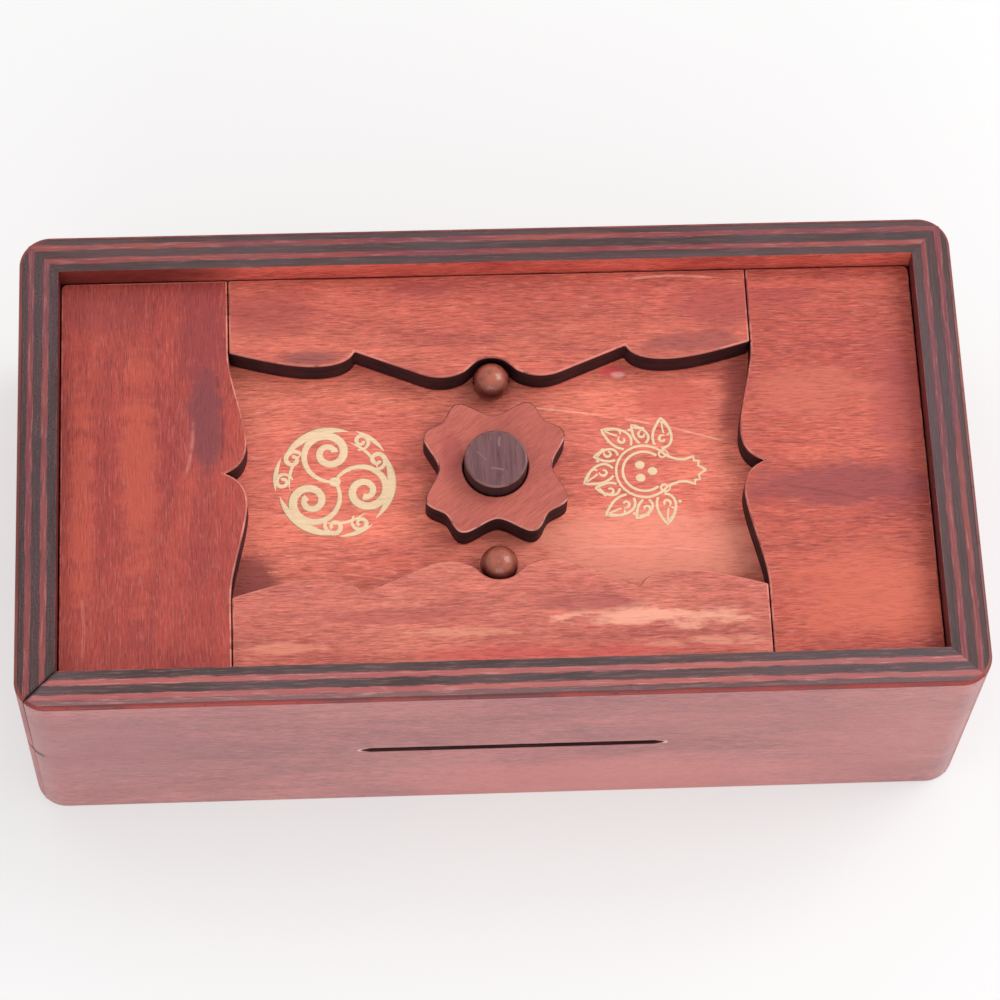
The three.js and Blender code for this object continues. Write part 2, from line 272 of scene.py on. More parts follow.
tree, given, result = new_group(
    "birch grain",
    [("Vector", "NodeSocketVector", (0, 0, 0)),
     ("Sheet", "NodeSocketFloat", 0.0),
     ("Figure Size", "NodeSocketFloat", 1.0)],
    ["Figure", "Streaks", "Pores", "Flecks", "Blotch", "Height"],
)
spot = vector_maths(tree, "ADD", given["Vector"], scaled(tree, SHEET_STEP, given["Sheet"]))
wander = times(tree, minus(tree, noise(tree, spot, (30, 30, 30)), 0.5), WANDER)
bent = vector_maths(tree, "ADD", spot, scaled(tree, (0, 1, 0), wander))
broad = noise(tree, scaled(tree, bent, given["Figure Size"]), (7, 34, 34), 2.5, 0.5, 0.6)
rings = maths(tree, "SINE", times(tree, broad, RING_TURNS))
value_into(tree, result["Figure"], times_plus(tree, rings, 0.5, 0.5))
bands = noise(tree, bent, (14, 300, 300), 3, 0.55)
fine = noise(tree, bent, (260, 2300, 2300), 3, 0.75)
value_into(tree, result["Streaks"], times_plus(tree, bands, 0.25, times(tree, fine, 0.75)))
pores = between(tree, noise(tree, bent, (230, 2600, 2600), 2, 0.6), 0.54, 0.70)
value_into(tree, result["Pores"], pores)
aside = vector_maths(tree, "ADD", bent, (0.05, 0.03, 0.02))
flecks = between(tree, noise(tree, aside, (260, 2400, 2400), 2, 0.6), 0.54, 0.70)
value_into(tree, result["Flecks"], flecks)
value_into(tree, result["Blotch"], noise(tree, spot, (22, 48, 48), 5, 0.6, 0.4))
value_into(tree, result["Height"], minus(tree, fine, times(tree, pores, 0.7)))
grain_group = tree

# Plies of the wall board: three dark and two light bands lie between its two thin face veneers.
# Their edges waver and are fibrous, and the dark ones are pitted where the edge was left rough.
DARK_PLIES_APART = 2.6
WAVER = 0.05
FRAY = 0.14

tree, given, result = new_group(
    "board plies",
    [("Vector", "NodeSocketVector", (0, 0, 0)),
     ("Depth", "NodeSocketFloat", 0.5),
     ("Roughed", "NodeSocketFloat", 0.5)],
    ["Dark Ply", "Tone", "Fibres", "Specks", "Height"],
)
along = given["Vector"]
waver = minus(tree, noise(tree, along, (28, 90, 90), 3, 0.6), 0.5)
fray = minus(tree, noise(tree, along, (160, 1900, 1900), 3, 0.65), 0.5)
level_in = times_plus(tree, waver, WAVER, given["Depth"])
level_in = times_plus(tree, fray, FRAY, level_in)
from_middle = minus(tree, level_in, 0.5)
wave = maths(tree, "COSINE", times(tree, from_middle, math.tau * DARK_PLIES_APART))
dark_ply = between(tree, wave, -0.62, 0.0)
value_into(tree, result["Dark Ply"], dark_ply)
value_into(tree, result["Tone"], noise(tree, along, (16, 170, 170), 4, 0.6, 0.3))
fibres = between(tree, noise(tree, along, (110, 1900, 1900), 3, 0.65), 0.48, 0.68)
value_into(tree, result["Fibres"], fibres)
pits = between(tree, noise(tree, along, (2100, 2600, 2600), 3, 0.7), 0.50, 0.66)
specks = times(tree, pits, given["Roughed"])
specks = times(tree, specks, times_plus(tree, dark_ply, 0.7, 0.3))
value_into(tree, result["Specks"], specks)
ridges = times_plus(tree, dark_ply, -0.5, times(tree, fibres, 0.5))
value_into(tree, result["Height"], times_plus(tree, specks, -0.5, ridges))
plies_group = tree

# A soft-edged patch of another colour, at a place and of a size, broken up along the grain: mostly stain, in
# a few places painted light and shade.
TEAR = 2.4

tree, given, result = new_group(
    "colour patch",
    [("Vector", "NodeSocketVector", (0, 0, 0)),
     ("Centre", "NodeSocketVector", (0, 0, 0)),
     ("Reach", "NodeSocketVector", (1, 1, 1)),
     ("Ragged", "NodeSocketFloat", 0.6)],
    ["Mask"],
)
offset = vector_maths(tree, "SUBTRACT", given["Vector"], given["Centre"])
away = vector_maths(tree, "LENGTH", vector_maths(tree, "DIVIDE", offset, given["Reach"]))
torn = minus(tree, noise(tree, given["Vector"], (60, 190, 190), 5, 0.62, 0.3), 0.5)
away = maths(tree, "ADD", away, times(tree, torn, times(tree, given["Ragged"], TEAR)))
value_into(tree, result["Mask"], minus(tree, 1, between(tree, away, 0.45, 1.05)))
patch_group = tree

# A thin bowed scratch along a run on a board's plan, broken up along its length.
tree, given, result = new_group(
    "scratch",
    [("Vector", "NodeSocketVector", (0, 0, 0)),
     ("Start", "NodeSocketVector", (0, 0, 0)),
     ("Run", "NodeSocketVector", (1, 0, 0)),
     ("Width", "NodeSocketFloat", 0.0003),
     ("Bow", "NodeSocketFloat", 0.0)],
    ["Mask"],
)
past_start = vector_maths(tree, "SUBTRACT", given["Vector"], given["Start"])
plan = vector_maths(tree, "MULTIPLY", past_start, (1, 1, 0))
length = vector_maths(tree, "DOT_PRODUCT", given["Run"], given["Run"])
share = maths(tree, "DIVIDE", vector_maths(tree, "DOT_PRODUCT", plan, given["Run"]), length)
share = maths(tree, "MINIMUM", maths(tree, "MAXIMUM", share, 0), 1)
arch = times(tree, maths(tree, "SINE", times(tree, share, math.pi)), given["Bow"])
aside = vector_maths(tree, "CROSS_PRODUCT", (0, 0, 1), given["Run"])
foot = vector_maths(tree, "ADD", scaled(tree, given["Run"], share), scaled(tree, aside, arch))
off = vector_maths(tree, "LENGTH", vector_maths(tree, "SUBTRACT", plan, foot))
line = minus(tree, 1, between(tree, maths(tree, "DIVIDE", off, given["Width"]), 0.2, 1))
skips = between(tree, noise(tree, given["Vector"], (170, 170, 170), 2, 0.6), 0.34, 0.56)
value_into(tree, result["Mask"], times(tree, line, skips))
scratch_group = tree


def patch(tree, vector, colour, patch_colour, centre, reach, share=0.8, ragged=0.6):
    """Lays one patch over a colour: mostly stain, in a few places painted light and shade. Centre and reach
    are millimetres in the object's frame.
    """
    mask = use_group(
        tree, patch_group, Vector=vector, Ragged=ragged,
        Centre=tuple(c / 1000 for c in centre), Reach=tuple(r / 1000 for r in reach))["Mask"]
    return blend_colour(tree, times(tree, mask, share), colour, patch_colour)


def scratch(tree, vector, colour, scratch_colour, start, finish, width=0.35, share=0.6, bow=0.03):
    """Draws one thin scratch in another colour, from start to finish in millimetres of the plan."""
    run = (Vector(finish) - Vector(start)) / 1000
    mask = use_group(
        tree, scratch_group, Vector=vector, Start=(start[0] / 1000, start[1] / 1000, 0),
        Run=(run.x, run.y, 0), Width=width / 1000, Bow=bow)["Mask"]
    return blend_colour(tree, times(tree, mask, share), colour, scratch_colour)


def stained_birch(tree, vector, sheet, pale, mid, deep, figure=0.5, figure_size=1.0, streaky=1.15):
    """Colour and grain of a stained birch face: pale, middle and deep stain by figure, streaks and pores."""
    grain = use_group(tree, grain_group, Vector=vector, Sheet=float(sheet), Figure_Size=figure_size)
    colour = blend_colour(tree, between(tree, grain["Blotch"], 0.32, 0.68), pale, mid)
    rings = times(tree, maths(tree, "POWER", grain["Figure"], 2.5), figure)
    colour = blend_colour(tree, rings, colour, deep)
    shade = times_plus(tree, minus(tree, grain["Streaks"], 0.5), streaky * 2, 1)
    colour = scaled(tree, colour, shade)
    colour = blend_colour(tree, times(tree, grain["Pores"], 0.48 * streaky), colour, deep)
    fleck = tuple(min(1, c * 1.10 + 0.10) for c in pale)
    return blend_colour(tree, times(tree, grain["Flecks"], 0.39 * streaky), colour, fleck), grain


def veneer_material(
        name, sheet, pale, mid, deep, gloss, turn=(0, 0, 0), patches=(), scratches=(),
        figure=0.5, figure_size=1.0, streaky=1.15):
    """A stained and varnished birch face with its own patches of stain and scratches."""
    material, tree, shader = new_material(name)
    flat = place_on(tree)
    turned = place_on(tree, turn)
    colour, grain = stained_birch(tree, turned, sheet, pale, mid, deep, figure, figure_size, streaky)
    for spec in patches:
        colour = patch(tree, flat, colour, *spec)
    for spec in scratches:
        colour = scratch(tree, flat, colour, *spec)
    value_into(tree, shader.inputs["Base Color"], colour)
    value_into(tree, shader.inputs["Roughness"], times_plus(tree, grain["Blotch"], 0.25, gloss))
    value_into(tree, shader.inputs["Normal"], bump(tree, grain["Height"], 0.0001))
    shader.inputs["Specular IOR Level"].default_value = 0.35
    return material


OPEN_MITRE_START = (-110, -55)
OPEN_MITRE_END = (-118.6, -63.6)


def sheet_edge_material(name, across, turn, sheet, roughed, bleached=0.0, soaked=0.0):
    """Edge of the wall board, with its plies in bands across X, which is 0, or across Y, which is 1.

    Roughed is how pitted it is, bleached how pale its light and outer plies are, soaked how dark.
    """
    material, tree, shader = new_material(name)
    parts = tree.nodes.new("ShaderNodeSeparateXYZ")
    value_into(tree, parts.inputs[0], place_on(tree))
    inner = cad_box[1][across] - WALL
    depth = maths(tree, "DIVIDE", minus(tree, maths(tree, "ABSOLUTE", parts.outputs[across]), inner), WALL)
    place = place_on(tree, turn, (sheet * 0.37, sheet * 0.21, 0))
    plies = use_group(tree, plies_group, Vector=place, Depth=depth, Roughed=roughed)
    warm = between(tree, plies["Tone"], 0.36, 0.64)
    cool = between(tree, noise(tree, place, (21, 60, 60), 3, 0.6), 0.42, 0.66)
    red = blend_colour(tree, warm, (0.24, 0.036, 0.046), (0.36, 0.080, 0.056))
    red = blend_colour(tree, times(tree, cool, 0.75), red, (0.17, 0.050, 0.066))
    red = blend_colour(tree, 0.55 * bleached, red, (0.50, 0.150, 0.140))
    red = blend_colour(tree, soaked, red, (0.120, 0.026, 0.040))
    red = blend_colour(tree, times(tree, plies["Fibres"], 0.35 + 0.30 * bleached), red, (0.64, 0.26, 0.24))
    dark = blend_colour(tree, warm, (0.050, 0.026, 0.024), (0.095, 0.046, 0.050))
    dark = blend_colour(tree, times(tree, cool, 0.6), dark, (0.098, 0.062, 0.070))
    dark = blend_colour(tree, times(tree, plies["Fibres"], 0.34 + 0.30 * bleached), dark, (0.25, 0.13, 0.13))
    dark = blend_colour(tree, 0.6 * soaked, dark, (0.045, 0.016, 0.018))
    colour = blend_colour(tree, plies["Dark Ply"], red, dark)
    pink = blend_colour(tree, plies["Fibres"], (0.25, 0.112, 0.115), (0.52, 0.230, 0.215))
    pink = blend_colour(tree, times(tree, cool, 0.6), pink, (0.17, 0.105, 0.105))
    left_end = between(tree, parts.outputs[0], 0.06, -0.06)
    fading = times_plus(tree, left_end, 0.6 * bleached, 0.4 * bleached)
    outer_ply = between(tree, times_plus(tree, plies["Tone"], 0.1, depth), 0.79, 0.85)
    outer_ply = times(tree, outer_ply, fading)
    colour = blend_colour(tree, outer_ply, colour, pink)
    colour = blend_colour(tree, times(tree, plies["Specks"], 0.85), colour, (0.020, 0.008, 0.008))
    under_veneer = times(tree, between(tree, depth, 0.885, 0.915), 0.85)
    colour = blend_colour(tree, under_veneer, colour, (0.030, 0.008, 0.009))
    colour = scratch(
        tree, place_on(tree), colour, (0.02, 0.006, 0.006), OPEN_MITRE_START, OPEN_MITRE_END,
        width=0.9, share=1.0, bow=0)
    value_into(tree, shader.inputs["Base Color"], colour)
    value_into(tree, shader.inputs["Roughness"], times_plus(tree, plies["Fibres"], 0.2, 0.45))
    value_into(tree, shader.inputs["Normal"], bump(tree, plies["Height"], 0.00016))
    shader.inputs["Specular IOR Level"].default_value = 0.4
    return material


def arris_material(name, fresh, worn, sheet, turn=(0, 0, 0)):
    """An eased edge in runs of two tones along it, where sanding has cut through the stain; on the pale
    inner rim arris and the rosette's rear arris the tones also stand for painted highlight and painted
    shade.
    """
    material, tree, shader = new_material(name)
    place = place_on(tree, turn, (sheet * 0.19, sheet * 0.11, 0))
    rub = between(tree, noise(tree, place, (24, 160, 160), 4, 0.65), 0.36, 0.62)
    nicks = between(tree, noise(tree, place, (420, 900, 900), 2, 0.6), 0.60, 0.72)
    colour = blend_colour(tree, rub, fresh, worn)
    colour = blend_colour(tree, times(tree, nicks, 0.6), colour, tuple(c * 0.3 for c in fresh))
    value_into(tree, shader.inputs["Base Color"], colour)
    shader.inputs["Roughness"].default_value = 0.42
    value_into(tree, shader.inputs["Normal"], bump(tree, nicks, 0.00008))
    return material


SHARP = math.radians(35)
SMOOTH_BELOW = math.radians(32)
SAME_FACE = math.radians(0.5)
SAME_POINT = 1e-6


def eased_copy(node, name, ease, materials, weight=None, closing=None):
    """A board's solid copied, merged into whole faces, and its arrises eased by a bevel.

    The first three materials are for its faces, its arrises and its sheet edges. The weight function
    gives an edge's share of the easing, and the closing function moves a vertex first.
    """
    bpy.ops.object.select_all(action="DESELECT")
    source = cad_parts[node]
    piece = bpy.data.objects.new(name, source.data.copy())
    bpy.context.collection.objects.link(piece)
    piece.matrix_world = Matrix.Identity(4)
    bpy.context.view_layer.objects.active = piece
    piece.select_set(True)
    bpy.ops.object.mode_set(mode="EDIT")
    bpy.ops.mesh.select_all(action="SELECT")
    bpy.ops.mesh.remove_doubles(threshold=SAME_POINT)
    bpy.ops.mesh.dissolve_limited(angle_limit=SAME_FACE)
    bpy.ops.object.mode_set(mode="OBJECT")
    if closing:
        for vertex in piece.data.vertices:
            closing(vertex)
    piece.data.materials.clear()
    for material in materials:
        piece.data.materials.append(material)
    rounding = piece.modifiers.new("eased arrises", "BEVEL")
    rounding.width = ease
    rounding.segments = 3
    rounding.material = ARRIS_SLOT
    if weight:
        rounding.limit_method = "WEIGHT"
        shares = piece.data.attributes.new("bevel_weight_edge", "FLOAT", "EDGE")
        normals = {}
        for face in piece.data.polygons:
            for key in face.edge_keys:
                normals.setdefault(key, []).append(face.normal)
        for edge in piece.data.edges:
            sides = normals.get(edge.key, [])
            sharp = len(sides) == 2 and sides[0].angle(sides[1]) > SHARP
            ends = [piece.data.vertices[i].co for i in edge.vertices]
            shares.data[edge.index].value = weight(*ends) if sharp else 0.0
    else:
        rounding.limit_method = "ANGLE"
        rounding.angle_limit = SHARP
    bpy.ops.object.modifier_apply(modifier=rounding.name)
    bpy.ops.object.shade_smooth_by_angle(angle=SMOOTH_BELOW)
    shading = piece.modifiers.new("flat faces stay flat", "WEIGHTED_NORMAL")
    shading.keep_sharp = True
    bpy.ops.object.modifier_apply(modifier=shading.name)
    return piece


def lies_up(face):
    return abs(face.normal.z) > 0.7


def stands_upright(face):
    return abs(face.normal.z) < 0.1


# Turns that lay the grain on a face, the slot and the painted shade of the saw nick in millimetres, and how
# far in metres
# the mitres are drawn together: of the fixed walls, of the drawers, and of the open front left corner.
ALONG_X = (math.radians(90), 0, 0)
ALONG_Y = (0, 0, math.radians(90))
UP_END = (math.radians(90), 0, math.radians(90))
SLOT_Z = 35.7
SLOT_ENDS = (-36, 41)
case_half = cad_box[1]
CORNER_STEP = case_half[0] - case_half[1]
GAP_SHARE = 0.00020
DRAWER_SHARE = 0.00014
OPEN_SHARE = 0.00002
SAW_NICK_SHADE = (-117.4, -63.4, 36.4)
SAW_NICK_SHADE_REACH = (3.6, 3.6, 1.4)

# The front wall's stain is painted a little lighter than the other walls': a painted reflection of the pale
# table in its varnish.
front_veneer_painted_light = veneer_material(
    "front wall veneer, painted lighter", 11, pale=(0.42, 0.105, 0.098), mid=(0.33, 0.074, 0.076),
    deep=(0.21, 0.038, 0.044), gloss=0.20, turn=ALONG_X, figure=0.30, figure_size=0.8, streaky=1.2,
    patches=[
        # Painted light: a large pale patch low in the middle of the front wall, where the lit table top
        # shines on it.
        ((0.54, 0.130, 0.112), (28, -65, 10), (70, 20, 20), 0.7, 0.5),
        ((0.42, 0.095, 0.088), (95, -65, 34), (26, 20, 40), 0.6, 0.6),
        ((0.29, 0.074, 0.084), (-100, -65, 44), (36, 20, 30), 0.6, 0.7),
        ((0.36, 0.080, 0.078), (60, -65, 52), (34, 20, 12), 0.5, 0.7),
        # Painted shade: a near-black wedge where the saw ran on past the front left corner, standing for the
        # shade in the nick.
        ((0.060, 0.003, 0.005), SAW_NICK_SHADE, SAW_NICK_SHADE_REACH, 1.0, 0.0),
    ] + [((0.85, 0.55, 0.50), (x, -65, SLOT_Z), (0.9, 20, 1.0), 0.8, 0.15) for x in SLOT_ENDS])
front_tree = front_veneer_painted_light.node_tree
front_gloss = front_tree.nodes["Principled BSDF"]
front_gloss.inputs["Specular IOR Level"].default_value = 0.5
dry = use_group(
    front_tree, patch_group, Vector=place_on(front_tree), Ragged=0.0,
    Centre=tuple(c / 1000 for c in SAW_NICK_SHADE), Reach=tuple(r / 1000 for r in SAW_NICK_SHADE_REACH))["Mask"]
value_into(front_tree, front_gloss.inputs["Coat Weight"], times_plus(front_tree, dry, -0.4, 0.4))
front_gloss.inputs["Coat Roughness"].default_value = 0.28
rear_veneer = veneer_material(
    "rear wall veneer", 12, pale=(0.40, 0.085, 0.070), mid=(0.31, 0.055, 0.050),
    deep=(0.18, 0.025, 0.026), gloss=0.24, turn=ALONG_X, figure=0.35,
    patches=[((0.24, 0.05, 0.055), (-50, 65, 30), (50, 20, 22), 0.6, 0.7)])
end_veneer = veneer_material(
    "end wall veneer", 13, pale=(0.40, 0.090, 0.078), mid=(0.31, 0.060, 0.056),
    deep=(0.18, 0.028, 0.030), gloss=0.24, turn=UP_END, figure=0.35,
    patches=[((0.24, 0.055, 0.06), (120, -20, 48), (20, 34, 18), 0.6, 0.7)])
# The inner faces are one veneer in two copies: the front and rear walls' copy is painted lighter, as painted
# light, and the end walls' copy is painted dark, as painted shade.
inner_veneer_painted_lit = veneer_material(
    "inner wall veneer, painted light", 14, pale=(0.68, 0.140, 0.100), mid=(0.50, 0.070, 0.052),
    deep=(0.16, 0.014, 0.014), gloss=0.34, figure=0.2,
    # Painted shade: a smooth near-black patch over the left end of the inner rear wall, in the left rear
    # corner.
    patches=[((0.10, 0.008, 0.008), (-104, 55, 66), (44, 20, 30), 0.85, 0.2)])
# Painted shade: the end walls' inner faces, turned from the light, get this dark copy of the inner veneer.
inner_end_veneer_painted_shade = veneer_material(
    "inner end veneer, painted shade", 15, pale=(0.17, 0.020, 0.018), mid=(0.10, 0.010, 0.010),
    deep=(0.04, 0.004, 0.005), gloss=0.40, turn=ALONG_Y, figure=0.2)
glue_line = arris_material("soot in the joints", (0.022, 0.008, 0.008), (0.060, 0.020, 0.018), 8)
red_arris = arris_material("rubbed red arris", (0.30, 0.026, 0.020), (0.13, 0.018, 0.022), 1)
end_arris = arris_material("rubbed end arris", (0.26, 0.045, 0.030), (0.15, 0.018, 0.016), 4, ALONG_Y)
# The inner rim arris of the rear and right walls is pale: partly worn through, partly a painted highlight.
inner_arris_worn_and_lit = arris_material("worn inner arris with painted highlight", (0.46, 0.15, 0.12), (0.80, 0.36, 0.29), 2)
dull_arris = arris_material("dull inner arris", (0.12, 0.035, 0.032), (0.26, 0.065, 0.055), 7, ALONG_Y)
front_edge = sheet_edge_material("front wall sheet edge", 1, (0, 0, 0), 3, roughed=0.30, bleached=0.85)
rear_edge = sheet_edge_material("rear wall sheet edge", 1, (0, 0, 0), 3.4, roughed=0.20, soaked=0.20)
left_edge = sheet_edge_material("left wall sheet edge", 0, ALONG_Y, 4, roughed=1.0, soaked=0.40)
right_edge = sheet_edge_material("right wall sheet edge", 0, ALONG_Y, 9, roughed=0.12, soaked=0.50)
INNER_FACE, INNER_ARRIS, JOINT = 3, 4, 5
ON_MITRE = 0.0004
RIM_ARRIS = 0.001
RIM_BAND = 0.0014
RIM_MIDDLE = 0.0015
FOOT_BAND = 0.002
CORNER_BAND = 0.008


def on_mitre(point):
    """On the sawn 45 degree face of a corner, and not at its far end."""
    return abs(abs(point.x) - abs(point.y) - CORNER_STEP) < ON_MITRE


def is_sawn_mitre(face):
    """The flat sawn face of a corner joint, and not the rounded corner beside it."""
    outward = (face.normal.x * math.copysign(1, face.center.x)
               + face.normal.y * math.copysign(1, face.center.y))
    return on_mitre(face.center) and abs(outward) < 0.3 and stands_upright(face)


def wall_arris(first, second):
    """How much of the easing an edge of a wall gets: most on the rim's outer arris, none inside a joint."""
    if on_mitre(first) and on_mitre(second):
        return 0.0
    height = (first.z + second.z) / 2
    if height > case_half[2] - RIM_ARRIS:
        middle = (first + second) / 2
        inside = (abs(middle.x) < case_half[0] - WALL + RIM_ARRIS
                  and abs(middle.y) < case_half[1] - WALL + RIM_ARRIS)
        return 0.42 if inside else 0.85
    return 0.6 if height < RIM_ARRIS else 0.12


def closes_mitre(run, moving):
    """Draws the mitres of a wall together along its run, less at the front left one and on a drawer."""
    def move(vertex):
        if on_mitre(vertex.co):
            opens = vertex.co.x < 0 and vertex.co.y < 0 and vertex.co.z > case_half[2] / 2
            share = OPEN_SHARE if opens else DRAWER_SHARE if moving else GAP_SHARE
            vertex.co[run] += math.copysign(share, vertex.co[run])
    return move


WALLS = [
    ("front_wall", "root", front_veneer_painted_light, front_edge, red_arris, dull_arris),
    ("rear_wall", "root", rear_veneer, rear_edge, end_arris, inner_arris_worn_and_lit),
    ("left_upper_wall", "root", end_veneer, left_edge, end_arris, dull_arris),
    ("right_upper_wall", "root", end_veneer, right_edge, end_arris, inner_arris_worn_and_lit),
    ("left_drawer_front", "left_drawer", end_veneer, left_edge, end_arris, dull_arris),
    ("right_drawer_front", "right_drawer", end_veneer, right_edge, end_arris, dull_arris),
]
for node, body, veneer, edge, outer_arris, inner_arris in WALLS:
    across = 0 if veneer is end_veneer else 1
    # End walls take the painted-shade copy of the inner veneer, the others the painted-light copy.
    inner_face = inner_end_veneer_painted_shade if veneer is end_veneer else inner_veneer_painted_lit
    wall = eased_copy(
        node, node + "_board", ARRIS, [veneer, outer_arris, edge, inner_face, inner_arris, glue_line],
        wall_arris, closes_mitre(1 - across, body != "root"))
    inner_reach = case_half[across] - WALL
    for face in wall.data.polygons:
        on_inner_side = abs(face.center[across]) < inner_reach + RIM_MIDDLE
        at_rim = face.center.z > case_half[2] - RIM_BAND
        above_foot = face.center.z > FOOT_BAND
        if face.material_index == ARRIS_SLOT:
            face.material_index = VENEER
            if at_rim:
                face.material_index = INNER_ARRIS if on_inner_side else ARRIS_SLOT
            elif above_foot and node != "front_wall" and abs(face.normal.z) > 0.3:
                face.material_index = JOINT
            elif above_foot and abs(face.center.x) > case_half[0] - CORNER_BAND:
                face.material_index = VENEER
            elif above_foot:
                face.material_index = ARRIS_SLOT
        elif is_sawn_mitre(face):
            face.material_index = JOINT
        elif lies_up(face):
            face.material_index = SHEET_EDGE
        elif on_inner_side and abs(face.normal[across]) > 0.9:
            face.material_index = INNER_FACE
    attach(wall, body)
    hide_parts(node)


# ---------------------------------------------------------------- deck
# The board that the lid field stands on, grain along the box, stained orange-red.
# It is glued in grooves in the walls, and bored for the knob and the two pegs.
deck_material = veneer_material(
    "deck stain", 21, pale=(0.80, 0.200, 0.130), mid=(0.68, 0.148, 0.105),
    deep=(0.42, 0.065, 0.052), gloss=0.40, figure=0.22,
    patches=[
        ((0.86, 0.280, 0.195), (38, -20, 55), (42, 13, 20), 0.75, 0.6),
        ((0.26, 0.045, 0.040), (-64, -26, 55), (12, 8, 20), 0.85, 0.6),
        ((0.34, 0.055, 0.050), (64, 20, 55), (6, 14, 20), 0.6, 0.6),
        ((0.60, 0.110, 0.075), (48, 22, 55), (12, 6, 20), 0.6, 0.7),
        ((0.80, 0.090, 0.090), (31.5, 30, 55), (4.6, 2.0, 20), 0.9, 0.4),
        ((0.98, 0.420, 0.400), (33.0, 29, 55), (2.4, 1.1, 20), 0.8, 0.4),
    ],
    scratches=[
        ((0.98, 0.42, 0.30), (6, 20.5), (62, 8.5), 0.42, 0.75),
        ((0.98, 0.36, 0.26), (-60, -19), (-26, -25), 0.38, 0.55),
        ((0.98, 0.36, 0.26), (-58, -24), (-20, -28.5), 0.32, 0.5),
        ((0.40, 0.07, 0.06), (-58, -21.5), (-8, -24), 0.45, 0.5),
        ((0.98, 0.38, 0.28), (20, -19.5), (60, -22.5), 0.32, 0.5),
    ])
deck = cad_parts["deck"]
deck.data.materials.clear()
deck.data.materials.append(deck_material)


# ---------------------------------------------------------------- roundels
# Two ornaments printed on the deck in cream paint, one of filled scrolls and one of outlined leaves.
# Each is a set of brush strokes, a little proud of the wood, with the deck's grain showing in them.
PAINT_RISE = 0.00012
cream_paint, tree, shader = new_material("cream paint")
place = place_on(tree)
grain = use_group(tree, grain_group, Vector=place, Sheet=21.0, Figure_Size=1.0)
worn = between(tree, noise(tree, place, (500, 900, 900), 4, 0.65), 0.50, 0.74)
colour = blend_colour(tree, times(tree, worn, 0.35), (0.80, 0.57, 0.36), (0.78, 0.45, 0.28))
shade = times_plus(tree, minus(tree, grain["Streaks"], 0.5), 0.6, 1)
value_into(tree, shader.inputs["Base Color"], scaled(tree, colour, shade))
shader.inputs["Roughness"].default_value = 0.55
value_into(tree, shader.inputs["Normal"], bump(tree, grain["Height"], 0.00008))


def spiral(centre, start, hand, reach, tightness, turns, thick):
    """A stroke that leaves its outer end thin, swells, and winds in to a round eye."""
    steps = int(26 * turns)
    stroke = []
    for step in range(steps + 1):
        share = step / steps
        angle = start + hand * math.tau * turns * share
        radius = reach * math.exp(-tightness * math.tau * turns * share)
        swell = min(1, 0.30 + 2.2 * share) * (1 - 0.45 * share)
        eye = 1.25 if share > 0.95 else 1
        x, y = centre[0] + radius * math.cos(angle), centre[1] + radius * math.sin(angle)
        stroke.append((x, y, thick * swell * eye))
    return stroke


def crescent(radius, first, last, thick):
    """A stroke along the rim of a roundel, pointed at both ends."""
    stroke = []
    for step in range(19):
        angle = first + (last - first) * step / 18
        swell = max(0.08, math.sin(math.pi * step / 18) ** 0.8)
        stroke.append((radius * math.cos(angle), radius * math.sin(angle), thick * swell))
    return stroke


def leaf(angle, foot, tip, half_width, lean, line):
    """The outline of a pointed leaf that stands on a ring and leans to one side."""
    stroke = []
    for step in range(25):
        along = 1 - abs(step / 12 - 1)
        side = 1 if step < 12 else -1
        radius = foot + (tip - foot) * along
        half = half_width * math.sin(math.pi * (0.08 + 0.92 * along)) ** 0.75 * (1 - 0.25 * along)
        turned = angle + lean * along ** 2 + side * half / radius
        stroke.append((radius * math.cos(turned), radius * math.sin(turned), line))
    return stroke


def dot(x, y, radius):
    """A round spot, drawn as one short stroke."""
    reach = [math.cos(math.pi * step / 10) for step in range(11)]
    return [(x - radius * r, y, radius * max(0.05, math.sqrt(1 - r * r))) for r in reach]


def arc(radius, first, last, pitch, line):
    """A line of even width round a roundel's centre, between two angles in degrees."""
    angles = [math.radians(degrees) for degrees in range(first, last, pitch)]
    return [(radius * math.cos(angle), radius * math.sin(angle), line) for angle in angles]


def turned_stroke(stroke, angle):
    cosine, sine = math.cos(angle), math.sin(angle)
    return [(x * cosine - y * sine, x * sine + y * cosine, width) for x, y, width in stroke]


def mirrored_stroke(stroke):
    return [(x, -y, width) for x, y, width in stroke]


def painted_roundel(name, centre, strokes, top):
    """Lays the strokes as round-bodied lines in millimetres about a centre, and presses them nearly flat."""
    bpy.ops.object.select_all(action="DESELECT")
    curve = bpy.data.curves.new(name, "CURVE")
    curve.dimensions = "3D"
    curve.bevel_depth = 0.001
    curve.bevel_resolution = 2
    curve.use_fill_caps = True
    for stroke in strokes:
        spline = curve.splines.new("POLY")
        spline.points.add(len(stroke) - 1)
        for point, (x, y, width) in zip(spline.points, stroke):
            point.co = ((centre[0] + x) / 1000, (centre[1] + y) / 1000, 0, 1)
            point.radius = width
    piece = bpy.data.objects.new(name, curve)
    bpy.context.collection.objects.link(piece)
    bpy.context.view_layer.objects.active = piece
    piece.select_set(True)
    bpy.ops.object.convert(target="MESH")
    piece = bpy.context.object
    thickest = max(vertex.co.z for vertex in piece.data.vertices)
    for vertex in piece.data.vertices:
        vertex.co.z = top + vertex.co.z * PAINT_RISE / thickest
    piece.data.materials.clear()
    piece.data.materials.append(cream_paint)
    for face in piece.data.polygons:
        face.use_smooth = True
    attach(piece, "root")


